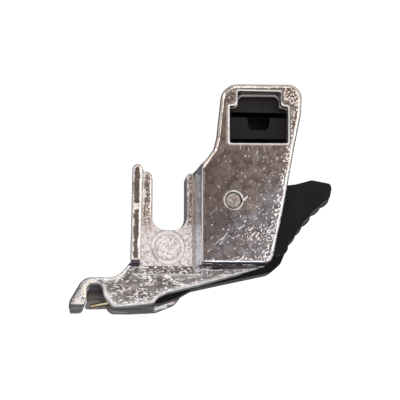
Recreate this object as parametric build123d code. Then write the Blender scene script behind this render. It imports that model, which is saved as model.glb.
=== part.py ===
from build123d import *
import math
import os

# Presser foot holder, millimetres.
# X runs from the foot-pin groove (front) to the release lever (rear), Z is up along the presser bar,
# Y runs from the plate side to the far side. The origin is the clamp screw's axis on the fork plate's near face.

plate_y = -3.3          # near face of the tall side plate and of the rib
plate_t = 2.6           # thickness of the side plate
plate_draft = 0.3       # lean of its edges over that thickness
rib_draft = 0.52        # lean of the rib over its depth
fork_t = 2.2            # thickness of the fork plate
wall_back = 1.9         # far side of the housing walls, set back from the bar seat
base_w = 8.8            # width of the base across the foot pin
cheek_t = 2.0           # near cheek of the base
slot_w = 4.4            # slot in the base for the lever arm
screw_slot_w = 4.56     # clamp screw slot, near face
screw_slot_far_w = 4.12 # the same slot at the far face
screw_slot_r = 1.8      # its bottom corners
screw_slot_bottom = -2.22
shelf_z = -6.9          # seat under the end of the presser bar
base_z = -12.4          # underside of the base
groove_top = -9.28      # top of the foot-pin groove
pivot_x, pivot_z = 8.0, 1.3
pin_r = 1.0
run_gap = 0.05          # running clearance of the lever on its pin
wire_r = 0.25           # retaining spring wire
coil_wire_r = 0.2       # return spring wire
edge_r = 0.34           # rounding of the cast edges

slot_y0 = cheek_t
slot_y1 = cheek_t + slot_w
plate_back = plate_y + plate_t
lever_y0 = plate_back + 0.2
lever_y1 = slot_y1 - 0.2


def outline(points, y):
    """Closed wire in the plane Y = y through (x, z[, radius]) points with rounded corners."""
    n = len(points)
    edges = []
    starts, ends, mids = [], [], []
    for i, p in enumerate(points):
        px, pz = p[0], p[1]
        r = p[2] if len(p) > 2 else 0.0
        ax, az = points[i - 1][0], points[i - 1][1]
        bx, bz = points[(i + 1) % n][0], points[(i + 1) % n][1]
        ux, uz = ax - px, az - pz
        vx, vz = bx - px, bz - pz
        lu, lv = math.hypot(ux, uz), math.hypot(vx, vz)
        ux, uz, vx, vz = ux / lu, uz / lu, vx / lv, vz / lv
        ang = math.acos(max(-1.0, min(1.0, ux * vx + uz * vz)))
        if r <= 0.0 or ang > math.pi - 0.02:
            starts.append((px, pz)); ends.append((px, pz)); mids.append(None)
            continue
        t = r / math.tan(ang / 2)
        lim = 0.49 * min(lu, lv)
        if t > lim:
            t = lim
            r = t * math.tan(ang / 2)
        wx, wz = ux + vx, uz + vz
        lw = math.hypot(wx, wz)
        h = r / math.sin(ang / 2)
        cx, cz = px + wx / lw * h, pz + wz / lw * h
        starts.append((px + ux * t, pz + uz * t))
        ends.append((px + vx * t, pz + vz * t))
        mids.append((cx - wx / lw * r, cz - wz / lw * r))
    for i in range(n):
        if mids[i]:
            edges.append(ThreePointArc((starts[i][0], y, starts[i][1]), (mids[i][0], y, mids[i][1]), (ends[i][0], y, ends[i][1])))
        a, b = ends[i], starts[(i + 1) % n]
        if math.hypot(a[0] - b[0], a[1] - b[1]) > 1e-6:
            edges.append(Line((a[0], y, a[1]), (b[0], y, b[1])))
    return Wire(edges)


def prism(points, y0, y1):
    """Solid over an XZ outline between two Y planes."""
    return Solid.extrude(Face(outline(points, y0)), Vector(0, y1 - y0, 0))


def slant(points, y0, y1, dx):
    """The same, leaning towards +X by dx over its depth."""
    return Solid.extrude(Face(outline(points, y0)), Vector(dx, y1 - y0, 0))


def taper(near, far, y0, y1):
    """Solid between two XZ outlines with the same corners."""
    return Solid.make_loft([outline(near, y0), outline(far, y1)], True)


def plan(points, z0, z1):
    """Solid over an XY outline between two heights."""
    pts = [Vector(x, y, z0) for x, y in points]
    w = Wire([Line(pts[i], pts[(i + 1) % len(pts)]) for i in range(len(pts))])
    return Solid.extrude(Face(w), Vector(0, 0, z1 - z0))


def rod(x, z, r, y0, y1):
    return Solid.make_cylinder(r, y1 - y0, Plane((x, y0, z), x_dir=(1, 0, 0), z_dir=(0, 1, 0)))


def one(shape):
    """The single solid of a boolean result."""
    s = shape.solids()
    return s[0] if len(s) == 1 else max(s, key=lambda q: q.volume)


def round_face(solid, y, r, keep):
    """Round the edges that lie in the plane Y = y and pass the test."""
    es = [e for e in solid.edges()
          if abs(e.position_at(0).Y - y) < 1e-4 and abs(e.position_at(1).Y - y) < 1e-4
          and abs(e.position_at(0.5).Y - y) < 1e-4 and keep(e.position_at(0.5))]
    for k in (1.0, 0.8, 0.65, 0.5, 0.35):
        try:
            return solid.fillet(r * k, es)
        except ValueError:
            continue
    print("left sharp at", y)
    return solid


# ---------------------------------------------------------------- casting
plate_pts = [(6.52, 16.56, 2.3), (17.02, 16.72, 2.6), (16.86, 12.9, 3), (15.95, 8.6, 6), (14.47, 0.5, 6),
             (12.85, -6.90, 1.4), (3.76, -6.95, 0.35), (3.76, 5.62, 0.6), (5.36, 7.9, 0.9), (5.74, 9.4, 2)]
plate = slant(plate_pts, plate_y, plate_back, plate_draft)
plate = round_face(plate, plate_y, 0.48, lambda p: True)

window_wide = [(7.11, 8.42, 0.4), (7.11, 13.93, 0.2), (8.23, 14.03, 0.7), (8.25, 15.98, 0.3), (14.45, 15.98, 0.3),
               (14.46, 14.08, 0.5), (15.48, 13.98, 0.35), (15.45, 8.50, 0.4)]
window_pts = [(7.55, 8.80, 0.25), (7.55, 13.66, 0.15), (8.58, 13.78, 0.6), (8.58, 15.70, 0.2), (14.25, 15.70, 0.2),
              (14.24, 13.82, 0.45), (15.19, 13.72, 0.25), (15.15, 8.90, 0.25)]
inner_pts = [(7.64, 8.92, 0.25), (7.64, 13.58, 0.15), (8.74, 13.70, 0.5), (8.74, 15.22, 0.8), (14.12, 15.30, 0.8),
             (14.12, 13.72, 0.45), (15.10, 13.62, 0.25), (15.08, 9.00, 0.25)]
inner_wide = [(7.57, 8.83, 0.25), (7.57, 13.64, 0.15), (8.62, 13.76, 0.5), (8.62, 15.44, 0.9), (14.22, 15.50, 0.9),
              (14.22, 13.80, 0.45), (15.17, 13.69, 0.25), (15.14, 8.92, 0.25)]
plate = one(plate - prism(window_pts, plate_y - 0.5, plate_y + 1.2))
plate = one(plate - prism(inner_pts, plate_y + 1.0, plate_back + 0.5))
plate = one(plate - taper(inner_wide, inner_pts, plate_y + 1.15, plate_y + 1.5))
plate = one(plate - taper(window_wide, window_pts, plate_y - 0.002, plate_y + 0.27))

# front wall of the lever housing, drafted, with its top cut along the plate's shoulder
wall = plan([(2.97, wall_back), (3.05, 0.0), (3.32, -0.35), (4.02, -3.0), (5.3, -3.0), (5.3, wall_back)], -7.25, 7.2)
wall = one(wall - prism([(2.0, 4.2), (2.0, 8.5), (6.2, 8.5), (4.62, 6.78)], plate_y - 1, fork_t + 1))

floor_wall = prism([(4.1, -6.95), (11.7, -6.91, 0.6), (12.3, -5.85), (4.1, -5.85)], plate_back - 0.5, wall_back)

fork_near = [(-4.72, -8.0), (-4.72, 5.45, 0.3), (-screw_slot_w / 2, 5.45, 0.8), (-screw_slot_w / 2, screw_slot_bottom, screw_slot_r),
             (screw_slot_w / 2, screw_slot_bottom, screw_slot_r), (screw_slot_w / 2, 5.28, 0.45), (4.2, 5.28), (4.2, -8.0)]
fork_far = [(-4.64, -8.0), (-4.64, 5.45, 0.3), (-screw_slot_far_w / 2, 5.45, 0.8), (-screw_slot_far_w / 2, screw_slot_bottom, screw_slot_r),
            (screw_slot_far_w / 2, screw_slot_bottom, screw_slot_r), (screw_slot_far_w / 2, 5.28, 0.9), (4.2, 5.28), (4.2, -8.0)]
fork = taper(fork_near, fork_far, 0.0, fork_t)
fork = round_face(fork, 0.0, 0.2, lambda p: (-2.6 < p.X < 2.6 and p.Z > -2.6) or p.Z > 5.0)

rib = slant([(-5.24, -6.70, 0.25), (-5.02, 5.79, 0.66), (-3.64, 5.79, 0.66), (-3.93, -6.70, 0.25)], plate_y, wall_back, rib_draft)
rib = round_face(rib, plate_y, 0.36, lambda p: True)
rib_root = plan([(-4.3, -0.42), (-3.78, -0.42), (-3.45, 0.02), (-4.3, 0.02)], -6.65, 5.1)

front_pts = [(-12.92, -12.33, 0.7), (-12.72, -11.4, 1.0), (-11.0, -8.43, 1.85), (-6.56, -8.43, 2.9)]
groove_left, groove_right = -10.54, -8.62
groove_pts = [(-7.20, base_z, 1.1), (-8.42, -10.75, 1.6), (groove_right, groove_top, 0.8), (groove_left, groove_top, 0.8),
              (groove_left, -11.2, 0.8), (-10.98, -12.33, 0.7)]
near_groove = [(-7.25, -12.32, 1.0)] + groove_pts[1:]

near_cheek = prism(front_pts + [(-4.0, -5.1), (12.25, -6.0), (12.7, -6.80, 0.25), (4.0, -9.34, 3.0), (-0.25, -10.42, 1.2), (-1.32, -10.95, 0.5),
                                (-1.95, -11.74, 0.5), (-4.3, -12.10, 2.0)] + near_groove, 0.0, cheek_t)
lean = Solid.extrude(Face(Wire([Line((-14, -1, shelf_z), (-14, 0, shelf_z)), Line((-14, 0, shelf_z), (-14, 0.31, -12.8)),
                                Line((-14, 0.31, -12.8), (-14, -1, -12.8)), Line((-14, -1, -12.8), (-14, -1, shelf_z))])), Vector(28, 0, 0))
near_cheek = one(near_cheek - lean)
lean_n = Vector(0, -math.cos(math.atan2(0.31, 5.9)), -math.sin(math.atan2(0.31, 5.9)))
lean_face = max([f for f in near_cheek.faces() if f.normal_at().dot(lean_n) > 0.9995], key=lambda f: f.area)
lean_edges = [e for e in lean_face.edges() if e.position_at(0.5).Z < shelf_z - 0.15 or e.position_at(0.5).X < -5.2]
for size in (edge_r, 0.27, 0.22):
    try:
        near_cheek = near_cheek.fillet(size, lean_edges)
        print("web edge", size)
        break
    except ValueError:
        continue
# the hook's foot slopes down from the near face
foot_cut = Solid.extrude(Face(Wire([Line((-14, -1, -11.55), (-14, cheek_t, -12.45)), Line((-14, cheek_t, -12.45), (-14, cheek_t, -13.5)),
                                    Line((-14, cheek_t, -13.5), (-14, -1, -13.5)), Line((-14, -1, -13.5), (-14, -1, -11.55))])), Vector(14 - 10.2, 0, 0))
near_cheek = one(near_cheek - foot_cut)

deep = prism(front_pts + [(-5.38, shelf_z), (5.0, shelf_z), (5.0, -7.43), (2.75, -9.25, 1.2), (1.35, -11.15, 1.4), (-1.2, -12.2, 2.0),
                          (-4.5, base_z, 3.0)] + groove_pts, cheek_t, base_w)
deep = round_face(deep, base_w, 0.4, lambda p: p.X < 4.5 and p.Z < shelf_z - 0.05)
arm_slot = prism([(6.0, -7.75), (-4.6, -7.75, 0.6), (-7.3, -9.2, 0.5), (-8.2, -9.42), (-8.9, -9.42), (-8.9, -13.5), (6.0, -13.5)], slot_y0, slot_y1)
deep = one(deep - arm_slot)
# bevel inside the far cheek where its underside rises
bevel_edges = [e for e in deep.edges() if abs(e.position_at(0.5).Y - slot_y1) < 1e-4 and abs(e.position_at(0).Y - slot_y1) < 1e-4
               and -2.3 < e.position_at(0.5).X < 1.7 and e.position_at(0.5).Z < -10.8]
for size in (0.8, 0.6, 0.45, 0.3):
    try:
        deep = one(deep.chamfer(size, None, bevel_edges))
        print("bevel", size, len(bevel_edges))
        break
    except ValueError:
        continue

ear_pts = [(2.2, shelf_z), (5.35, shelf_z, 1.2), (5.35, 4.0, 2.6), (10.65, 4.0, 2.6), (10.65, -4.2, 1.5), (6.8, -7.7, 1.5), (3.1, -8.85), (2.2, -9.0)]
ear = prism(ear_pts, slot_y1, base_w)
ear = round_face(ear, base_w, 0.4, lambda p: p.Z > -7.5 and p.X > 5.0)

body = plate + [wall, floor_wall, fork, rib, rib_root, near_cheek, deep, ear]
body = one(body)

# plan taper of the hook's front end
body = one(body - plan([(-13.6, -0.2), (-12.92, -0.2), (-12.47, base_w + 0.2), (-13.6, base_w + 0.2)], -13.5, -9.0))

# pivot hole with a countersunk ring, and the shallow round mark on the fork plate
body = one(body - rod(pivot_x, pivot_z, pin_r, plate_y - 1, base_w + 1))
ring = Solid.make_cone(1.26, 1.0, 0.2, Plane((pivot_x, plate_y, pivot_z), x_dir=(1, 0, 0), z_dir=(0, 1, 0)))
body = one(body - ring)
mark_x, mark_z = -0.17, -4.45
mark = rod(mark_x, mark_z, 2.2, -0.5, 0.2) - rod(mark_x, mark_z, 1.68, -0.6, 0.3)
body = one(body - mark)
body = one(body - rod(mark_x, mark_z, 1.69, -0.5, 0.05))

# ---------------------------------------------------------------- lever
head_pts = [(7.95, 9.88, 0.2), (7.95, 14.15, 0.25), (8.88, 14.15, 0.1), (8.88, 15.30, 0.9), (14.62, 15.42, 0.9), (14.62, 14.2, 0.1), (15.55, 14.2, 0.25), (15.55, 9.98, 0.2)]
# grip beads along the near rim of the thumb pad: hollowed ends on the near face, full lobes behind it
bead_y, bead_back = 0.5, 1.5
bead_ends = [((20.73, 2.04), (20.04, 1.84), (19.56, 1.19)), ((19.50, 1.12), (18.74, 0.69), (18.26, -0.02)),
             ((18.21, -0.12), (17.48, -0.69), (17.02, -1.61)), ((16.96, -1.72), (16.45, -2.26), (16.12, -2.96)),
             ((16.07, -3.07), (15.61, -3.51), (15.28, -4.25))]
beads = [((21.02, 2.32), (20.66, 1.56), (19.88, 1.18)), ((19.77, 0.98), (19.40, 0.45), (18.65, 0.09)),
         ((18.46, -0.24), (18.12, -0.95), (17.47, -1.36)), ((17.29, -1.68), (17.08, -2.14), (16.49, -2.66)),
         ((16.37, -3.02), (16.10, -3.50), (15.63, -3.94))]


def bead_row(arcs, y):
    """Wire through one arc per bead, closed inside the pad."""
    at = lambda q: (q[0], y, q[1])
    back = [(14.5, -3.5), (19.9, 3.3)]
    edges = []
    for i, (p, q, r) in enumerate(arcs):
        if i:
            edges.append(Line(at(arcs[i - 1][2]), at(p)))
        edges.append(ThreePointArc(at(p), at(q), at(r)))
    edges += [Line(at(arcs[-1][2]), at(back[0])), Line(at(back[0]), at(back[1])), Line(at(back[1]), at(arcs[0][0]))]
    return Wire(edges)


ridged = [(19.90, 1.97, 0.5), (18.62, 0.82, 1.0), (17.36, -0.56, 1.0), (16.33, -2.15, 1.0), (15.48, -3.42, 0.3), (15.40, -4.25, 0.2), (15.38, -4.62, 0.2)]
pad_top = [(15.3, 3.80), (16.5, 3.97, 1), (18.58, 4.56, 0.8), (21.02, 4.12, 0.35), (21.22, 3.5, 0.5), (20.96, 2.25, 0.15)]
pad_pts = [(14.9, 3.82)] + pad_top + ridged + [(15.05, -5.1, 0.3), (14.6, -5.35), (14.0, -3.0)]
near_pts = [(8.0, 3.7, 1.5), (11.0, 3.7)] + pad_top + ridged + [(15.1, -5.1, 0.3), (14.3, -5.3, 0.5), (11.0, -3.6, 2), (8.0, -1.2, 1.5), (5.7, 0.2, 1.2), (5.7, 2.6, 1.0)]
arm_low = [(15.28, -5.0, 0.4), (14.74, -6.25, 1.5), (13.5, -7.28, 1.6), (7.0, -8.72, 3), (3.2, -9.6, 1.5), (1.2, -10.75, 1.0), (-0.9, -11.5, 0.5), (-1.5, -11.5)]
mid_pts = [(7.95, 8.0, 0.8), (7.95, 9.95), (15.55, 9.95), (15.45, 8.2, 0.8), (13.2, 5.0, 1.5)] + pad_top + ridged + arm_low + [(-1.5, -8.75), (4.78, -7.95, 0.3), (5.9, -6.6, 0.8), (5.9, -1.0, 1.5), (5.75, 2.6, 1.0), (7.6, 4.2, 1.5)]
arm_pts = [(14.7, -4.9, 0.3)] + arm_low + [(-1.5, -8.75), (4.78, -7.95, 0.3), (6.0, -6.4, 0.8), (12.6, -4.9, 0.8)]
nose_pts = [(-1.4, -8.75), (-4.9, -9.25, 1.5), (-7.4, -9.76, 1.5), (-10.42, -9.80, 0.2), (-10.42, -11.15, 0.6), (-10.78, -12.10, 0.4), (-9.2, -12.05, 0.8), (-7.6, -12.0, 1.0), (-1.4, -11.48)]
hub_y = 5.2

lever = prism(mid_pts, fork_t, hub_y)
lever = lever + [prism(near_pts, lever_y0, fork_t), prism(head_pts, lever_y0, hub_y), prism(arm_pts, hub_y - 0.2, lever_y1),
                 prism(nose_pts, 2.9, 5.5)]
pad = prism(pad_pts, lever_y0, 8.6)
grip = Solid.make_loft([bead_row(bead_ends, lever_y0), bead_row(beads, bead_y)], True)
grip_back = Solid.extrude(Face(bead_row(beads, bead_y)), Vector(0, bead_back - bead_y, 0))
lever = one(lever + [pad, grip, grip_back])
lever = one(lever - prism([(7.0, 12.75, 0), (7.0, 13.42), (16.5, 13.42), (16.5, 12.75)], lever_y0 - 1, lever_y0 + 2.6))
lever = one(lever - prism([(10.33, 11.04, 0.7), (10.10, 13.0), (13.18, 13.0), (12.90, 11.04, 0.7)], lever_y0 - 1, lever_y0 + 2.8))
lever = one(lever - rod(pivot_x, pivot_z, pin_r + run_gap, lever_y0 - 1, hub_y + 1))
hook_x, hook_z = 11.6, 2.9
lever = one(lever - rod(hook_x, hook_z, coil_wire_r + 0.05, hub_y - 1.2, hub_y + 1))

# ---------------------------------------------------------------- pin and springs
pin = rod(pivot_x, pivot_z, pin_r, plate_y + 0.02, base_w - 0.1)

legs = [Vector(-9.96, 2.37, -11.98), Vector(-3.3, 2.37, -10.58), Vector(-3.0, 2.37, -8.02), Vector(-3.0, 6.03, -8.02), Vector(-3.3, 6.03, -10.58), Vector(-9.2, 6.03, -11.79)]


def wire_body(points, radius, bend):
    path = FilletPolyline(*points, radius=bend)
    start = path.position_at(0)
    sec = Plane(origin=start, z_dir=path.tangent_at(0))
    face = Face(Wire([Edge.make_circle(radius, sec)]))
    return Solid.sweep(face, Wire(path.edges()))


retaining = wire_body(legs, wire_r, 0.45)

coil_r = 1.45
coil_y0 = hub_y + 0.3
pitch = 0.45
hold = (5.12, -2.6)      # leg end hooked behind the ear's front edge


def tangent_angle(x, z, sign):
    """Angle on the coil at which a line from the point touches it."""
    dx, dz = x - pivot_x, z - pivot_z
    return math.atan2(dz, dx) + sign * math.acos(coil_r / math.hypot(dx, dz))


a0 = tangent_angle(hold[0], hold[1], -1.0)
a1 = tangent_angle(hook_x, hook_z, 1.0)
while a1 > a0 - 2 * math.pi:
    a1 -= 2 * math.pi
turn = (a0 - a1) / (2 * math.pi)
pts = []
steps = 40
for i in range(steps + 1):
    t = turn * i / steps
    a = a0 - 2 * math.pi * t
    pts.append(Vector(pivot_x + coil_r * math.cos(a), coil_y0 + pitch * t, pivot_z + coil_r * math.sin(a)))
coil_y1 = pts[-1].Y
coil_edge = Edge.make_spline(pts, tangents=[(math.sin(a0), 0, -math.cos(a0)), (math.sin(a1), 0, -math.cos(a1))])
leg_a = FilletPolyline(Vector(hold[0], coil_y0 + 1.9, hold[1]), Vector(hold[0], coil_y0, hold[1]), pts[0], radius=0.35)
leg_b = FilletPolyline(pts[-1], Vector(hook_x, coil_y1, hook_z), Vector(hook_x, coil_y1 - 1.7, hook_z), radius=0.35)
path = Wire(list(leg_a.edges()) + [coil_edge] + list(leg_b.edges()))
sec = Plane(origin=leg_a.position_at(0), z_dir=leg_a.tangent_at(0))
spring = Solid.sweep(Face(Wire([Edge.make_circle(coil_wire_r, sec)])), path)

# ---------------------------------------------------------------- export
os.makedirs("parts", exist_ok=True)
for name, solid in (("holder_body", body), ("release_lever", lever), ("lever_pivot_pin", pin),
                    ("retaining_spring", retaining), ("return_spring", spring)):
    solid.label = name
    export_step(solid, f"parts/{name}.step")
    bb = solid.bounding_box()
    print(name, solid.is_valid, len(solid.solids()), round(solid.volume, 2), [round(v, 2) for v in (bb.min.X, bb.max.X, bb.min.Y, bb.max.Y, bb.min.Z, bb.max.Z)])
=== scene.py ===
import math
import bpy
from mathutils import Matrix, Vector


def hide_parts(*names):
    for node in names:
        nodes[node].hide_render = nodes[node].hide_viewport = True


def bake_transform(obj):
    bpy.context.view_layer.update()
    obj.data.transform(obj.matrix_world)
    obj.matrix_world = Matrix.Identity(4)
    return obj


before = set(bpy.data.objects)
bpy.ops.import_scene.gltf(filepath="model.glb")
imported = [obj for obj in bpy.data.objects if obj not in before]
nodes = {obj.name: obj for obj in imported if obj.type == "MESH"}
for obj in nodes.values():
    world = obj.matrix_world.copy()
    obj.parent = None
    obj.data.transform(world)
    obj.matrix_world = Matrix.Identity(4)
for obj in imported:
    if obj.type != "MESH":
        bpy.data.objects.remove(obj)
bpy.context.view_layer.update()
scene = bpy.context.scene
MM = 0.001


# ---------------------------------------------------------------- node helpers
class Tree:
    """Small helper that adds nodes to a material or world and links them."""

    def __init__(self, owner):
        owner.use_nodes = True
        self.t = owner.node_tree
        self.t.nodes.clear()

    def node(self, kind, **inputs):
        n = self.t.nodes.new(kind)
        for k, v in inputs.items():
            self.put(n, k, v)
        return n

    def put(self, n, key, v):
        sock = n.inputs[int(key[1:])] if key[0] == "i" and key[1:].isdigit() else n.inputs[key.replace("_", " ")]
        if isinstance(v, bpy.types.NodeSocket):
            self.t.links.new(v, sock)
        else:
            sock.default_value = v

    def math(self, op, a, b=None, c=None, clamp=False):
        n = self.t.nodes.new("ShaderNodeMath")
        n.operation = op
        n.use_clamp = clamp
        for i, v in enumerate((a, b, c)):
            if v is not None:
                self.put(n, "i%d" % i, v)
        return n.outputs[0]

    def ramp(self, fac, stops, interp="LINEAR"):
        n = self.t.nodes.new("ShaderNodeValToRGB")
        n.color_ramp.interpolation = interp
        el = n.color_ramp.elements
        while len(el) > 1:
            el.remove(el[-1])
        for i, (p, c) in enumerate(stops):
            e = el[0] if i == 0 else el.new(p)
            e.position = p
            e.color = (c, c, c, 1) if isinstance(c, (int, float)) else (*c, 1)
        self.put(n, "Fac", fac)
        return n.outputs["Color"]

    def band(self, v, lo, hi, smooth=True):
        """0 below lo, 1 above hi."""
        n = self.t.nodes.new("ShaderNodeMapRange")
        n.interpolation_type = "SMOOTHSTEP" if smooth else "LINEAR"
        self.put(n, "Value", v)
        n.inputs["From Min"].default_value = lo
        n.inputs["From Max"].default_value = hi
        return n.outputs["Result"]

    def mix(self, fac, a, b):
        n = self.t.nodes.new("ShaderNodeMix")
        n.data_type = "RGBA"
        self.put(n, "i0", fac)
        for i, v in ((6, a), (7, b)):
            self.put(n, "i%d" % i, (*v, 1) if isinstance(v, tuple) and len(v) == 3 else v)
        return n.outputs[2]

    def noise(self, co, per_mm, detail=2.0, rough=0.5, distort=0.0):
        n = self.t.nodes.new("ShaderNodeTexNoise")
        self.put(n, "Vector", co)
        n.inputs["Scale"].default_value = per_mm * 1000
        n.inputs["Detail"].default_value = detail
        n.inputs["Roughness"].default_value = rough
        n.inputs["Distortion"].default_value = distort
        return n.outputs["Fac"]

    def voronoi(self, co, per_mm, feature="F1", out="Distance", randomness=1.0):
        n = self.t.nodes.new("ShaderNodeTexVoronoi")
        n.feature = feature
        self.put(n, "Vector", co)
        n.inputs["Scale"].default_value = per_mm * 1000
        n.inputs["Randomness"].default_value = randomness
        return n.outputs[out]

    def bump(self, height, distance, strength=1.0, normal=None):
        n = self.t.nodes.new("ShaderNodeBump")
        self.put(n, "Height", height)
        self.put(n, "Distance", distance)
        self.put(n, "Strength", strength)
        if normal is not None:
            self.put(n, "Normal", normal)
        return n.outputs["Normal"]

    def xyz(self):
        """Object coordinates and their three parts in millimetres."""
        co = self.t.nodes.new("ShaderNodeTexCoord").outputs["Object"]
        s = self.t.nodes.new("ShaderNodeSeparateXYZ")
        self.put(s, "i0", co)
        return co, [self.math("MULTIPLY", s.outputs[i], 1000.0) for i in range(3)]

    def surface(self, shader):
        out = self.t.nodes.new("ShaderNodeOutputMaterial")
        self.t.links.new(shader, out.inputs["Surface"])


def material(name):
    m = bpy.data.materials.new(name)
    return m, Tree(m)


def dress(node, mat):
    mesh = nodes[node].data
    mesh.materials.clear()
    mesh.materials.append(mat)


# ---------------------------------------------------------------- plated die casting
def casting():
    m, t = material("plated_casting")
    co, (x, y, z) = t.xyz()

    def both(*f):
        r = f[0]
        for g in f[1:]:
            r = t.math("MULTIPLY", r, g)
        return r

    def stretched(sx, sy, sz, turn=0.0):
        n = t.node("ShaderNodeMapping", Vector=co)
        n.inputs["Scale"].default_value = (sx, sy, sz)
        n.inputs["Rotation"].default_value = (0.0, turn, 0.0)
        return n.outputs[0]

    def slanted(long, short, turn):
        n = t.node("ShaderNodeMapping", Vector=co)
        n.vector_type = "TEXTURE"
        n.inputs["Scale"].default_value = (long, 1.0, short)
        n.inputs["Rotation"].default_value = (0.0, turn, 0.0)
        return n.outputs[0]

    outer = t.math("MAXIMUM", t.band(y, 1.2, 0.7), t.band(y, 8.0, 8.4))
    web = both(t.band(z, -6.75, -7.0), outer, t.band(y, -0.7, -0.4))     # cast skin of the base
    plate = t.band(y, -2.5, -2.8)
    fork = both(t.band(y, -0.9, -0.6), t.band(y, 0.6, 0.3), t.band(x, 3.1, 2.9), t.band(z, -7.0, -6.8))
    fork_low = both(fork, t.band(t.math("ADD", z, t.math("MULTIPLY", t.noise(co, 0.7, 2.0), 2.0)), 1.2, -2.6))
    low = t.band(z, 2.5, -5.5)
    right = t.band(x, 4.5, 13.5)
    top = t.band(z, 13.0, 15.5)

    hook = both(t.band(x, -8.6, -9.6), web)
    geo = t.t.nodes.new("ShaderNodeNewGeometry")
    nrm = t.t.nodes.new("ShaderNodeSeparateXYZ")
    t.put(nrm, "i0", geo.outputs["True Normal"])
    under = t.band(nrm.outputs[2], -0.45, -0.80)

    wave = t.noise(co, 0.16, 1.0)
    grain = t.noise(co, 4.0, 2.0, 0.6)
    worm = t.noise(co, 3.0, 2.0, 0.55, 1.2)
    peel = t.noise(stretched(0.6, 1.0, 1.0, 0.12), 1.5, 2.0, 0.5, 0.4)
    mottle = t.noise(co, 0.9, 4.0, 0.62)
    scratch = t.band(t.noise(slanted(7.0, 0.7, -0.85), 2.4, 1.0), 0.64, 0.69)
    scratch = both(scratch, t.band(t.noise(co, 0.25, 1.0), 0.47, 0.6), plate, low)

    # matt islands in the bright plating: flat flakes on the base, fine grit on the plate
    patch = t.band(t.noise(co, 0.5, 2.0), 0.34, 0.66)
    busy = t.math("ADD", both(low, right), both(top, t.math("ADD", 0.50, t.math("MULTIPLY", right, 0.34))))
    busy = t.math("ADD", busy, t.math("MULTIPLY", t.band(x, 13.0, 15.4), 0.6))
    busy = both(t.math("ADD", busy, t.math("MULTIPLY_ADD", right, 0.20, 0.08)), t.math("ADD", 0.35, t.math("MULTIPLY", patch, 0.75)), plate)
    busy = t.math("ADD", busy, both(plate, t.band(z, -5.7, -6.5), t.math("ADD", 0.3, patch)))
    busy = t.math("ADD", busy, both(fork, t.math("MULTIPLY_ADD", t.band(z, 1.5, -1.0), 0.25, 0.16)))
    busy = t.math("ADD", busy, both(plate, t.band(x, 0.0, -2.0), t.math("ADD", 0.48, t.math("MULTIPLY", patch, 0.60))), clamp=True)
    verge = t.math("SUBTRACT", t.math("MULTIPLY_ADD", z, 0.205, 14.35), x)
    busy = t.math("ADD", busy, both(plate, t.band(verge, 1.5, 0.5), t.band(z, 11.5, 9.0), 0.75), clamp=True)
    grit = t.math("SUBTRACT", t.noise(slanted(1.5, 0.85, -0.8), 3.9, 2.0, 0.6), t.math("MULTIPLY_ADD", busy, -0.165, 0.70))
    grit = t.math("MULTIPLY", grit, 9.0, clamp=True)
    flake = t.math("SUBTRACT", t.noise(stretched(0.42, 1.0, 1.0, 0.10), 4.4, 2.5, 0.58, 0.3), t.math("MULTIPLY_ADD", patch, -0.11, 0.608))
    flake = both(t.math("MULTIPLY", flake, 11.0, clamp=True), web)
    chalk = both(hook, t.band(t.noise(co, 2.8, 2.0, 0.6), 0.585, 0.51))
    matt = t.math("MAXIMUM", t.math("MAXIMUM", grit, flake), chalk, clamp=True)
    px, pz = t.math("SUBTRACT", x, 8.0), t.math("SUBTRACT", z, 1.3)
    pr = t.math("SQRT", t.math("ADD", t.math("MULTIPLY", px, px), t.math("MULTIPLY", pz, pz)))
    # painted highlight: a pale broken ring round the pivot pin, with a short tail up to the right
    pin_ring_highlight = both(t.band(pr, 1.05, 1.11), t.band(pr, 1.30, 1.24), t.math("MULTIPLY_ADD", t.band(t.noise(co, 0.8, 2.0), 0.40, 0.52), 0.75, 0.25))
    tu = t.math("ADD", t.math("MULTIPLY", px, 0.77), t.math("MULTIPLY", pz, 0.64))
    tv = t.math("ABSOLUTE", t.math("ADD", t.math("ADD", t.math("MULTIPLY", px, -0.64), t.math("MULTIPLY", pz, 0.77)), 0.80))
    ring_tail_highlight = both(t.band(tu, 0.95, 1.05), t.band(tu, 1.85, 1.5), t.band(tv, 0.10, 0.05))
    pin_ring_highlight = both(t.math("MAXIMUM", pin_ring_highlight, ring_tail_highlight), t.band(y, -2.7, -2.9))
    # painted highlight: a white line along the inner arch edge at the top of the window
    arch_highlight = both(t.band(y, -2.10, -2.07), t.band(y, -1.70, -1.78), t.band(z, 13.5, 13.6), t.band(x, 7.4, 7.5), t.band(x, 15.4, 15.3))
    # painted highlight: a white, rougher band along the lower rim of the base near the hook
    wide = t.node("ShaderNodeBevel")
    wide.samples = 6
    wide.inputs["Radius"].default_value = 0.0009
    lean = t.t.nodes.new("ShaderNodeVectorMath")
    lean.operation = "DOT_PRODUCT"
    t.put(lean, "i0", wide.outputs[0])
    t.put(lean, "i1", geo.outputs["True Normal"])
    rim_highlight = both(t.band(lean.outputs["Value"], 0.997, 0.96), web, t.band(z, -7.7, -8.2), t.band(x, -8.9, -8.2), t.math("MULTIPLY_ADD", t.band(t.noise(co, 1.0, 2.0), 0.33, 0.47), 0.4, 0.6))
    # painted shade: dark grey on the left-facing rounded faces by the hook
    tilt = t.t.nodes.new("ShaderNodeSeparateXYZ")
    t.put(tilt, "i0", wide.outputs[0])
    shoulder_shade = both(t.band(tilt.outputs[0], -0.08, -0.20), t.band(x, -9.3, -9.7), t.band(z, -7.0, -7.3), t.band(y, 8.6, 8.4))
    matt = t.math("MAXIMUM", t.math("MAXIMUM", matt, arch_highlight), t.math("MAXIMUM", pin_ring_highlight, t.math("MULTIPLY", rim_highlight, 0.9)), clamp=True)
    matt = t.math("MULTIPLY", matt, t.math("SUBTRACT", 1.0, shoulder_shade))
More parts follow.
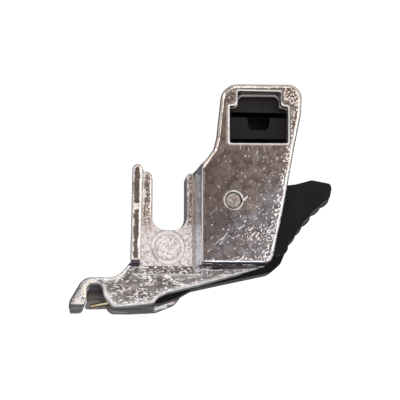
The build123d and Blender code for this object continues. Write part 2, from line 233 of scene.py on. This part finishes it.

    # painted highlight: pale along the edges of the rib and the tines and in a band across the rib; painted
    # reflection: their middles brown
    jag = t.math("MULTIPLY_ADD", t.noise(co, 1.1, 3.0, 0.65), 1.15, -0.60)
    ribs = both(plate, t.band(x, -3.2, -3.4), t.band(y, -3.05, -3.15))
    off = t.math("ADD", t.math("ABSOLUTE", t.math("SUBTRACT", x, t.math("MULTIPLY_ADD", z, 0.0204, -4.448))), jag)
    brk = t.math("ADD", z, jag)
    gap = both(t.band(brk, -0.10, 0.10), t.band(brk, 0.75, 0.50), 0.8)
    pale_highlight = both(ribs, t.math("MAXIMUM", t.band(off, 0.26, 0.40), gap))
    tines = both(fork, t.band(z, 0.6, 1.6))
    offl = t.math("ABSOLUTE", t.math("SUBTRACT", x, -2.88))
    offr = t.math("ABSOLUTE", t.math("SUBTRACT", x, 2.72))
    tine_edge_highlight = both(tines, t.band(t.math("ADD", t.math("MINIMUM", offl, offr), jag), 0.24, 0.38))
    pale_highlight = both(t.math("MAXIMUM", pale_highlight, tine_edge_highlight), t.math("MULTIPLY_ADD", t.band(t.noise(co, 2.6, 2.0), 0.38, 0.54), 0.45, 0.55))
    brown_reflection = both(t.math("MAXIMUM", ribs, tines), t.math("SUBTRACT", 1.0, pale_highlight))
    matt = t.math("MAXIMUM", t.math("MULTIPLY", matt, t.math("MULTIPLY_ADD", brown_reflection, -0.88, 1.0)), t.math("MULTIPLY", pale_highlight, 0.8))

    # round mark left by an ejector in the mould, with a painted highlight on its lip, painted shade lines along its
    # edges and a painted shade nick on its lower left
    dx, dz = t.math("ADD", x, 0.17), t.math("ADD", z, 4.45)
    r = t.math("SQRT", t.math("ADD", t.math("MULTIPLY", dx, dx), t.math("MULTIPLY", dz, dz)))
    lip_highlight = both(t.band(r, 1.66, 1.74), t.band(r, 2.22, 2.14), fork)
    outline_shade = both(fork, t.math("MAXIMUM", both(t.band(r, 1.54, 1.66), t.band(r, 1.82, 1.70)), both(t.band(r, 2.12, 2.2), t.band(r, 2.36, 2.24))))

    n = t.node("ShaderNodeBevel")
    n.samples = 6
    n.inputs["Radius"].default_value = 0.00014
    soft = t.t.nodes.new("ShaderNodeVectorMath")
    soft.operation = "DOT_PRODUCT"
    t.put(soft, "i0", n.outputs[0])
    t.put(soft, "i1", geo.outputs["True Normal"])
    brink = t.band(soft.outputs["Value"], 0.998, 0.975)
    n = t.bump(wave, 0.00024, 0.6, n.outputs[0])
    n = t.bump(mottle, 0.00006, 0.35, n)
    n = t.bump(peel, 0.00005, t.math("MULTIPLY", web, 0.9), n)
    n = t.bump(matt, -0.00003, 0.6, n)
    n = t.bump(grain, 0.000030, t.math("ADD", 0.06, t.math("ADD", t.math("MULTIPLY", matt, 0.35), t.math("MULTIPLY", fork_low, 0.45))), n)
    n = t.bump(worm, 0.00006, t.math("MULTIPLY", fork, 0.5), n)
    n = t.bump(scratch, -0.00002, 1.0, n)

    # painted reflection: plating warmer brown towards the upper left and cooler towards the lower right, in slanted
    # patches
    cool = t.math("ADD", t.noise(slanted(1.8, 0.8, -0.85), 0.45, 2.5), t.math("MULTIPLY_ADD", t.band(t.math("SUBTRACT", x, t.math("MULTIPLY", z, 0.8)), 2.0, 16.0, False), 0.5, -0.25))
    tone = t.mix(t.band(cool, 0.36, 0.64), (0.72, 0.62, 0.555), (0.79, 0.775, 0.82))
    tone = t.mix(t.math("MULTIPLY", both(plate, t.band(x, 3.0, 3.5), t.band(x, 9.5, 5.5), t.band(z, 8.0, 5.0), t.band(z, -3.5, -1.0)), 0.5), tone, (0.50, 0.42, 0.38))
    tone = t.mix(t.math("MULTIPLY", both(plate, t.band(x, 3.0, 3.5), t.band(x, 11.5, 8.5), t.band(z, 1.5, -1.5), t.band(z, -5.2, -3.8)), 0.5), tone, (0.46, 0.45, 0.49))
    tone = t.mix(web, tone, t.mix(t.band(t.noise(stretched(0.5, 1.0, 1.0), 0.8, 3.0, 0.6), 0.40, 0.60), (0.54, 0.51, 0.50), (0.84, 0.815, 0.81)))
    tone = t.mix(t.math("MULTIPLY", t.band(mottle, 0.54, 0.38), 0.5), tone, (0.38, 0.33, 0.31))
    tint = t.mix(t.band(t.noise(co, 1.6, 1.0), 0.42, 0.58), (1.0, 0.925, 0.84), (0.95, 0.95, 1.0))
    tone = t.mix(matt, tone, tint)
    tone = t.mix(rim_highlight, tone, (1.0, 1.0, 1.0))
    tone = t.mix(t.math("MULTIPLY", shoulder_shade, 0.9), tone, (0.17, 0.165, 0.17))
    tone = t.mix(both(fork_low, t.band(worm, 0.41, 0.54)), t.mix(fork_low, tone, (0.54, 0.475, 0.455)), (0.97, 0.935, 0.93))
    tone = t.mix(t.math("MULTIPLY", brown_reflection, 0.30), tone, (0.42, 0.345, 0.31))
    tone = t.mix(t.math("MULTIPLY", pale_highlight, 0.85), tone, (1.0, 0.975, 0.955))
    tone = t.mix(t.math("MULTIPLY", lip_highlight, 0.62), tone, (1.0, 0.985, 0.985))
    tone = t.mix(t.math("MULTIPLY", outline_shade, 0.6), tone, (0.44, 0.39, 0.375))
    side = t.math("DIVIDE", t.math("ADD", t.math("MULTIPLY", dx, -0.87), t.math("MULTIPLY", dz, -0.49)), r)
    nick_shade = both(fork, t.band(side, 0.86, 0.95), t.band(r, 1.86, 1.94), t.band(r, 2.18, 2.10))
    tone = t.mix(t.math("MULTIPLY", nick_shade, 0.8), tone, (0.26, 0.25, 0.27))
    tone = t.mix(t.math("MULTIPLY", scratch, 0.5), tone, (0.35, 0.32, 0.31))
    # painted reflection: pale blue with white streaks on the left-facing step wall between the plates
    step_wall_reflection = both(t.band(nrm.outputs[0], -0.6, -0.85), t.band(x, 2.9, 3.0), t.band(x, 4.4, 4.2), t.band(y, -0.1, -0.3), t.band(y, -3.1, -2.95))
    streak = t.band(t.noise(stretched(1.0, 1.0, 0.06), 1.5, 2.0), 0.40, 0.60)
    mid = both(t.band(y, -0.75, -1.05), t.band(y, -2.45, -2.15))
    sheen = t.mix(streak, (0.82, 0.90, 1.0), (1.0, 1.0, 1.0))
    tone = t.mix(t.math("MULTIPLY", step_wall_reflection, 0.9), tone, t.mix(mid, (0.74, 0.79, 0.87), sheen))
    seam = both(t.band(y, -2.85, -2.95), t.band(z, 5.9, 5.3), t.band(x, 3.5, 3.6))
    tone = t.mix(t.math("MULTIPLY", both(seam, t.band(x, 3.98, 4.04), t.band(x, 4.5, 4.25)), 0.6), tone, (0.36, 0.30, 0.27))
    tone = t.mix(both(seam, t.band(x, 4.02, 3.97)), tone, (1.0, 1.0, 1.0))
    # painted reflection: the rounded edges round the window toned dark brown like the plate, its flats on the left
    # slightly darker; painted highlight: white along the inner edge of the frame
    about = both(t.band(x, 6.9, 7.0), t.band(x, 15.7, 15.6), t.band(z, 8.2, 8.3), t.band(z, 16.2, 16.1), t.band(y, -3.18, -3.22))
    flat = t.band(nrm.outputs[1], -0.95, -0.985)
    tone = t.mix(t.math("MULTIPLY", both(about, flat, t.band(x, 13.0, 11.0)), 0.12), tone, (0.40, 0.34, 0.31))
    tone = t.mix(t.math("MULTIPLY", both(about, t.math("SUBTRACT", 1.0, flat)), 0.85), tone, (0.20, 0.172, 0.16))
    tone = t.mix(t.math("MULTIPLY", both(about, flat, brink), 0.8), tone, (0.26, 0.215, 0.195))
    frame_highlight = both(t.band(x, 6.9, 7.0), t.band(x, 15.7, 15.6), t.band(z, 8.2, 8.3), t.band(z, 16.2, 16.1), t.band(y, -3.20, -3.16), t.band(y, -3.0, -3.04), t.math("SUBTRACT", 1.0, flat))
    frame_highlight = both(frame_highlight, t.math("MULTIPLY_ADD", t.band(t.noise(co, 1.1, 2.0), 0.36, 0.54), 0.5, 0.5))
    tone = t.mix(t.math("MULTIPLY", frame_highlight, 0.9), tone, (1.0, 1.0, 0.99))
    # painted shade: a dark band on the ledge inside the top of the window
    ledge_shade = both(t.band(y, -3.03, -2.98), t.band(y, -2.06, -2.09), t.band(z, 14.3, 14.6), t.band(x, 7.8, 8.0), t.band(x, 15.0, 14.8))
    tone = t.mix(t.math("MULTIPLY", ledge_shade, 0.9), tone, (0.06, 0.055, 0.07))
    # painted highlight on the inner arch edge
    tone = t.mix(arch_highlight, tone, (1.0, 0.985, 0.98))
    # painted shade: dull striped grey on the downward faces below the near cheek and on the faces inside the slot;
    # painted dark shade under the overhangs and in the corners above the crease
    dull_underside_shade = both(under, t.band(z, -7.6, -8.0), t.band(y, 2.2, 2.0))
    stripe = t.band(t.noise(stretched(0.12, 2.2, 3.0), 1.3, 2.0), 0.44, 0.56)
    facing = t.band(nrm.outputs[1], -0.05, -0.30)
    slot_face_shade = both(t.math("MAXIMUM", under, facing), t.band(y, 1.9, 2.1), t.band(y, 8.5, 8.3), t.band(z, -9.2, -9.8))
    dull_underside_shade = t.math("MAXIMUM", dull_underside_shade, slot_face_shade)
    tone = t.mix(t.math("MULTIPLY", dull_underside_shade, 0.9), tone, t.mix(stripe, (0.10, 0.098, 0.103), (0.30, 0.296, 0.30)))
    tone = t.mix(both(slot_face_shade, t.band(x, -9.4, -9.0)), tone, t.mix(stripe, (0.115, 0.114, 0.12), (0.28, 0.277, 0.28)))
    # painted highlight: a white patch with a pinkish patch beside it on the far cheek's inner face in the slot
    diag = t.math("MULTIPLY_ADD", x, -0.2, z)
    ragged = t.math("ADD", diag, t.math("MULTIPLY_ADD", t.noise(co, 1.3, 2.0), 0.5, -0.25))
    cheek_highlight = both(t.band(y, 6.1, 6.3), t.band(y, 7.6, 7.3), t.band(x, -1.55, -1.3), t.band(x, 0.35, 0.12), t.band(ragged, -11.76, -11.62), t.band(ragged, -10.98, -11.12))
    tone = t.mix(cheek_highlight, tone, (1.0, 1.0, 0.99))
    cheek_pink_highlight = both(t.band(y, 6.1, 6.3), t.band(y, 7.6, 7.3), t.band(x, 0.15, 0.35), t.band(x, 1.35, 1.05), t.band(ragged, -11.42, -11.30), t.band(ragged, -10.92, -11.04))
    tone = t.mix(t.math("MULTIPLY", cheek_pink_highlight, 0.95), tone, (1.0, 0.90, 0.84))
    # painted shade: near-black navy under the rib and plate overhangs, in the corner above the crease and along the
    # crease
    overhang_shade = both(under, t.band(y, 0.1, -0.1), t.band(z, -6.0, -6.3), t.band(z, -7.5, -7.2))
    corner_shade = t.math("MULTIPLY_ADD", t.band(x, 3.9, 11.5, False), 0.22, -7.30)
    corner_shade = both(web, t.band(t.math("SUBTRACT", z, corner_shade), -0.04, 0.06),
                  t.band(x, 3.7, 3.85))
    crease_shade = both(t.band(y, -0.1, -0.25), t.band(z, -6.94, -6.98), t.band(x, 3.45, 3.75))
    lower_edge_shade = both(t.band(nrm.outputs[2], -0.40, -0.62), t.band(y, -0.1, -0.25), t.band(z, -6.45, -6.65))
    root_shade = both(t.band(x, -5.7, -5.4), t.band(x, -3.75, -3.9), t.band(z, -6.55, -6.62), t.band(z, -7.0, -6.92), t.band(y, -0.8, -0.6), t.band(y, 0.4, 0.3))
    crease_shade = t.math("MAXIMUM", crease_shade, t.math("MAXIMUM", lower_edge_shade, root_shade))
    overhang_shade = t.math("MAXIMUM", t.math("MAXIMUM", overhang_shade, corner_shade), crease_shade)
    tone = t.mix(t.math("MULTIPLY", overhang_shade, 0.95), tone, (0.03, 0.03, 0.055))
    rough = t.math("ADD", 0.05, t.math("MULTIPLY", mottle, 0.20))
    rough = t.math("ADD", rough, t.math("MULTIPLY", fork_low, 0.25))
    rough = t.math("ADD", rough, t.math("MULTIPLY", t.math("MAXIMUM", matt, dull_underside_shade), 0.38))
    rough = t.math("ADD", rough, t.math("MULTIPLY", t.math("SUBTRACT", 1.0, outer), 0.05))
    rough = t.math("MULTIPLY_ADD", rim_highlight, 0.22, rough)
    rough = t.math("MULTIPLY_ADD", frame_highlight, 0.25, rough)
    metal = t.math("MULTIPLY_ADD", t.math("SUBTRACT", dull_underside_shade, t.math("MAXIMUM", cheek_highlight, cheek_pink_highlight), clamp=True), -0.7, 1.0)
    b = t.node("ShaderNodeBsdfPrincipled", Base_Color=tone, Roughness=rough, Metallic=metal, Normal=n)
    t.surface(b.outputs[0])
    return m


# ---------------------------------------------------------------- black moulding
def moulding():
    m, t = material("black_moulding")
    co, (x, y, z) = t.xyz()
    grain = t.noise(co, 6.0, 3.0, 0.6)
    flow = t.noise(co, 0.5, 2.0)
    tone = t.mix(t.band(flow, 0.35, 0.65), (0.0065, 0.0063, 0.0065), (0.0095, 0.0091, 0.0093))
    dust = t.math("MULTIPLY", t.band(t.noise(co, 3.0, 3.0, 0.7), 0.62, 0.75), 0.25)
    tone = t.mix(dust, tone, (0.04, 0.038, 0.036))
    geo = t.t.nodes.new("ShaderNodeNewGeometry")
    nrm = t.t.nodes.new("ShaderNodeSeparateXYZ")
    t.put(nrm, "i0", geo.outputs["True Normal"])
    under = t.band(nrm.outputs[2], -0.80, -0.95)                        # lighter grey on the arm's downward faces
    tone = t.mix(t.math("MULTIPLY", under, t.band(z, -4.0, -6.0)), tone, (0.09, 0.088, 0.087))
    tone = t.mix(t.band(z, 8.0, 9.0), tone, t.mix(t.band(z, 13.4, 13.6), (0.0175, 0.0168, 0.0165), (0.026, 0.0245, 0.0235)))
    # painted shade: near black in the groove across the lever's head
    recess_shade = t.math("MULTIPLY", t.band(y, -0.45, -0.30), t.math("MULTIPLY", t.band(z, 10.7, 10.9), t.band(z, 13.6, 13.45)))
    tone = t.mix(recess_shade, tone, (0.001, 0.001, 0.001))
    grip_reflection = t.math("MULTIPLY", t.band(nrm.outputs[0], 0.10, 0.25), t.math("MULTIPLY", t.band(nrm.outputs[1], -0.12, -0.30), t.band(x, 14.5, 15.2)))
    outline_shade = t.math("MULTIPLY", grip_reflection, 0.9)
    grip_reflection = t.math("MULTIPLY", grip_reflection, t.math("MULTIPLY", t.band(y, -0.36, -0.12), t.band(y, 0.36, 0.08)))
    # painted shade: near-black outlines round the bead ends
    tone = t.mix(outline_shade, tone, (0.0015, 0.0015, 0.0015))
    tone = t.mix(grip_reflection, tone, (0.10, 0.099, 0.094))                      # painted reflection: the bead ends lighter grey
    nose_tone = t.mix(t.band(z, -9.9, -11.6), (0.11, 0.10, 0.094), (0.30, 0.272, 0.253))
    nose_tone = t.mix(t.math("MULTIPLY", t.band(x, -9.8, -10.4), t.band(z, -10.8, -11.6)), nose_tone, (0.27, 0.265, 0.265))
    ax, az = t.math("ADD", x, 9.3), t.math("ADD", z, 12.6)
    arc = t.math("SQRT", t.math("ADD", t.math("MULTIPLY", ax, ax), t.math("MULTIPLY", az, az)))
    arc = t.band(t.math("SINE", t.math("ADD", t.math("MULTIPLY", arc, 7.5), t.math("MULTIPLY", t.noise(co, 0.9, 2.0), 3.0))), 0.25, 0.9)
    nose_tone = t.mix(t.math("MULTIPLY", arc, 0.45), nose_tone, (0.045, 0.04, 0.04))
    tone = t.mix(t.band(x, -7.0, -8.4), tone, nose_tone)                 # nose lighter grey-brown, darker towards the top, with darker arcs
    rough = t.math("ADD", 0.50, t.math("MULTIPLY", grain, 0.14))
    n = t.bump(grain, 0.000012, 0.5)
    b = t.node("ShaderNodeBsdfPrincipled", Base_Color=tone, Roughness=rough, Normal=n)
    b.inputs["Specular IOR Level"].default_value = 0.16
    t.surface(b.outputs[0])
    return m


# ---------------------------------------------------------------- pin end and wires
def pin_steel():
    m, t = material("pin_steel")
    co, (x, y, z) = t.xyz()
    grain = t.noise(co, 5.0, 3.0, 0.7)
    streak = t.node("ShaderNodeMapping", Vector=co)
    streak.inputs["Scale"].default_value = (1.0, 1.0, 5.0)
    lines = t.noise(streak.outputs[0], 2.5, 2.0)
    tone = t.mix(t.band(grain, 0.38, 0.62), (0.20, 0.17, 0.155), (0.64, 0.565, 0.525))
    dx, dz = t.math("SUBTRACT", x, 8.0), t.math("SUBTRACT", z, 1.3)
    r = t.math("SQRT", t.math("ADD", t.math("MULTIPLY", dx, dx), t.math("MULTIPLY", dz, dz)))
    side = t.band(t.math("DIVIDE", t.math("ADD", t.math("MULTIPLY", dx, 0.6), t.math("MULTIPLY", dz, 0.8)), r), -0.5, 0.7)
    # painted shadow: a dark crescent inside the rim of the pin's end, strongest towards the upper right
    tone = t.mix(t.math("MULTIPLY", t.band(r, 0.78, 0.92), t.math("MULTIPLY_ADD", side, 0.6, 0.35)), tone, (0.04, 0.035, 0.032))
    rough = t.math("ADD", 0.38, t.math("MULTIPLY", grain, 0.2))
    n = t.bump(grain, 0.00003, 0.7)
    n = t.bump(lines, 0.00002, 0.5, n)
    b = t.node("ShaderNodeBsdfPrincipled", Base_Color=tone, Roughness=rough, Normal=n)
    b.inputs["Metallic"].default_value = 1.0
    t.surface(b.outputs[0])
    return m


def spring_wire(name, dark, light):
    m, t = material(name)
    co, (x, y, z) = t.xyz()
    draw = t.noise(co, 0.9, 2.0, 0.5)
    tone = t.mix(t.band(draw, 0.35, 0.65), dark, light)
    geo = t.t.nodes.new("ShaderNodeNewGeometry")
    nrm = t.t.nodes.new("ShaderNodeSeparateXYZ")
    t.put(nrm, "i0", geo.outputs["True Normal"])
    unshaded_sides = t.math("MULTIPLY", t.band(nrm.outputs[2], -0.70, -0.35), t.band(nrm.outputs[2], 0.60, 0.25))
    tone = t.mix(unshaded_sides, tuple(0.26 * v for v in dark), tone)            # painted shade on the upper and lower faces; the sides keep the plain tone
    rough = t.math("ADD", 0.32, t.math("MULTIPLY", draw, 0.14))
    n = t.bump(draw, 0.00001, 0.5)
    b = t.node("ShaderNodeBsdfPrincipled", Base_Color=tone, Roughness=rough, Normal=n)
    b.inputs["Metallic"].default_value = 1.0
    t.surface(b.outputs[0])
    return m


dress("holder_body", casting())
dress("release_lever", moulding())
dress("lever_pivot_pin", pin_steel())
dress("retaining_spring", spring_wire("brass_wire", (0.56, 0.42, 0.25), (0.84, 0.72, 0.53)))
dress("return_spring", spring_wire("steel_wire", (0.42, 0.41, 0.40), (0.62, 0.61, 0.60)))

# a separate copy of the return spring stands in for the imported one, which is hidden
winding = bpy.data.objects.new("return_spring_wound", nodes["return_spring"].data.copy())
scene.collection.objects.link(winding)
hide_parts("return_spring")
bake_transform(winding)


# ---------------------------------------------------------------- floor
floor_mesh = bpy.data.meshes.new("floor")
s, h = 2.5, -0.16
floor_mesh.from_pydata([(-s, -s, h), (s, -s, h), (s, s, h), (-s, s, h)], [], [(0, 1, 2, 3)])
floor = bpy.data.objects.new("floor", floor_mesh)
scene.collection.objects.link(floor)
floor.visible_glossy = False
fm, ft = material("pale_floor")
fco, _ = ft.xyz()
shade = ft.mix(ft.noise(fco, 0.004, 2.0), (0.84, 0.84, 0.85), (0.88, 0.88, 0.88))
fb = ft.node("ShaderNodeBsdfPrincipled", Base_Color=shade)
fb.inputs["Roughness"].default_value = 0.9
fb.inputs["Specular IOR Level"].default_value = 0.1
ft.surface(fb.outputs[0])
floor_mesh.materials.append(fm)


# ---------------------------------------------------------------- studio surround and lamps
world = bpy.data.worlds.new("studio")
scene.world = world
w = Tree(world)
way = w.t.nodes.new("ShaderNodeTexCoord").outputs["Generated"]


def heading(az, el):
    """Unit vector from the object: az from straight ahead of the plate towards +X, el above the horizon."""
    a, e = math.radians(az), math.radians(el)
    return Vector((math.sin(a) * math.cos(e), -math.cos(a) * math.cos(e), math.sin(e)))


def towards(d):
    n = w.t.nodes.new("ShaderNodeVectorMath")
    n.operation = "DOT_PRODUCT"
    w.t.links.new(way, n.inputs[0])
    n.inputs[1].default_value = d
    return n.outputs["Value"]


ahead = towards(heading(5.5, 7.0))
span = w.math("MULTIPLY_ADD", ahead, 0.5, 0.5)       # 1 in front of the plate, 0 behind it
ring = w.ramp(span, [
    (0.00, (0.16, 0.165, 0.18)),
    (0.06, (0.16, 0.17, 0.195)),
    (0.12, (0.10, 0.105, 0.12)),
    (0.18, (0.065, 0.065, 0.07)),
    (0.42, (0.065, 0.063, 0.065)),
    (0.50, (0.40, 0.40, 0.41)),
    (0.57, (0.98, 0.98, 0.98)),
    (0.62, (1.00, 0.99, 0.98)),
    (0.82, (1.00, 0.98, 0.96)),
    (0.90, (0.60, 0.56, 0.54)),
    (0.945, (0.26, 0.225, 0.215)),
    (1.00, (0.20, 0.165, 0.15)),
])
# the room in front: brown towards the upper left, lighter and greyer towards the lower right
slope = towards((0.62, 0.0, -0.78))
room = w.ramp(w.band(slope, -0.16, 0.04, False), [(0.0, (0.12, 0.092, 0.078)), (0.45, (0.175, 0.145, 0.13)), (1.0, (0.32, 0.295, 0.305))])
sky = w.mix(w.band(span, 0.955, 0.985), ring, room)
dark = w.band(towards(heading(6, -17)), math.cos(math.radians(13)), math.cos(math.radians(7)))
sky = w.mix(w.math("MULTIPLY", dark, 0.92), sky, (0.016, 0.017, 0.03))
# cooler, dimmer screen on the left
left = w.band(towards(heading(-38, 9)), math.cos(math.radians(24)), math.cos(math.radians(12)))
sky = w.mix(w.math("MULTIPLY", left, 0.9), sky, (0.36, 0.42, 0.52))
# shade low behind the object
low = w.math("MULTIPLY", w.band(towards((0, 0, 1)), -0.04, -0.12), w.band(span, 0.06, 0.02))
sky = w.mix(w.math("MULTIPLY", low, 0.8), sky, (0.03, 0.032, 0.055))
# pale floor lit below the front of the object
bounce = w.band(towards(Vector((0.15, -0.38, -0.91)).normalized()), math.cos(math.radians(42)), math.cos(math.radians(32)))
sky = w.mix(bounce, sky, (1.0, 1.0, 1.0))
# pale panel behind, level with the object
panel = w.band(towards(Vector((0.22, 0.975, 0.02)).normalized()), math.cos(math.radians(8)), math.cos(math.radians(5)))
sky = w.mix(panel, sky, (1.0, 1.0, 1.0))
surround = w.node("ShaderNodeBackground", Color=sky)
surround.inputs["Strength"].default_value = 1.0
white = w.node("ShaderNodeBackground")
white.inputs["Color"].default_value = (1, 1, 1, 1)
white.inputs["Strength"].default_value = 1.05
path = w.t.nodes.new("ShaderNodeLightPath")
pick = w.t.nodes.new("ShaderNodeMixShader")
w.t.links.new(path.outputs["Is Camera Ray"], pick.inputs[0])
w.t.links.new(surround.outputs[0], pick.inputs[1])
w.t.links.new(white.outputs[0], pick.inputs[2])
wo = w.t.nodes.new("ShaderNodeOutputWorld")
w.t.links.new(pick.outputs[0], wo.inputs["Surface"])


def lamp(name, pos, size, watts, colour=(1, 1, 1)):
    d = bpy.data.lights.new(name, "AREA")
    d.shape = "RECTANGLE"
    d.size, d.size_y = size
    d.energy = watts
    d.color = colour
    o = bpy.data.objects.new(name, d)
    o.location = pos
    o.rotation_mode = "QUATERNION"
    o.rotation_quaternion = (-Vector(pos)).to_track_quat("-Z", "Y")
    o.visible_camera = False
    scene.collection.objects.link(o)
    return o


lamp("top", (0.05, 0.10, 0.55), (0.5, 0.3), 1.6).visible_glossy = False
# strip of small lamps round the camera
for i, (az, el, k, tint) in enumerate([
        (-13, 19, 1.0, (1.0, 0.98, 0.95)), (23, 16, 1.0, (1.0, 0.97, 0.95)), (5, 28, 1.2, (1.0, 1.0, 1.0)),
        (-11, -3, 0.9, (1.0, 0.96, 0.94)), (21, -3, 1.0, (1.0, 0.98, 0.98)), (6, -31, 1.2, (0.98, 0.98, 1.0)),
        (-34, 30, 1.4, (1.0, 0.98, 0.96)), (42, 6, 1.4, (0.98, 0.98, 1.0))]):
    lamp("spot_%d" % i, heading(az, el) * 0.6, (0.11, 0.11), 0.17 * k, tint)


# ---------------------------------------------------------------- camera
cam_data = bpy.data.cameras.new("camera")
cam_data.sensor_width = 36.0
cam_data.sensor_fit = "HORIZONTAL"
cam_data.lens = 152.46
cam_data.clip_start, cam_data.clip_end = 0.005, 20.0
cam = bpy.data.objects.new("camera", cam_data)
cam.location = Vector((-16.817, -215.984, -34.532)) * MM
aim = Vector((3.98, 0.0, 1.778)) * MM
cam.rotation_mode = "QUATERNION"
cam.rotation_quaternion = (aim - cam.location).to_track_quat("-Z", "Y")
scene.collection.objects.link(cam)
scene.camera = cam

scene.view_settings.view_transform = "Standard"
scene.view_settings.look = "None"
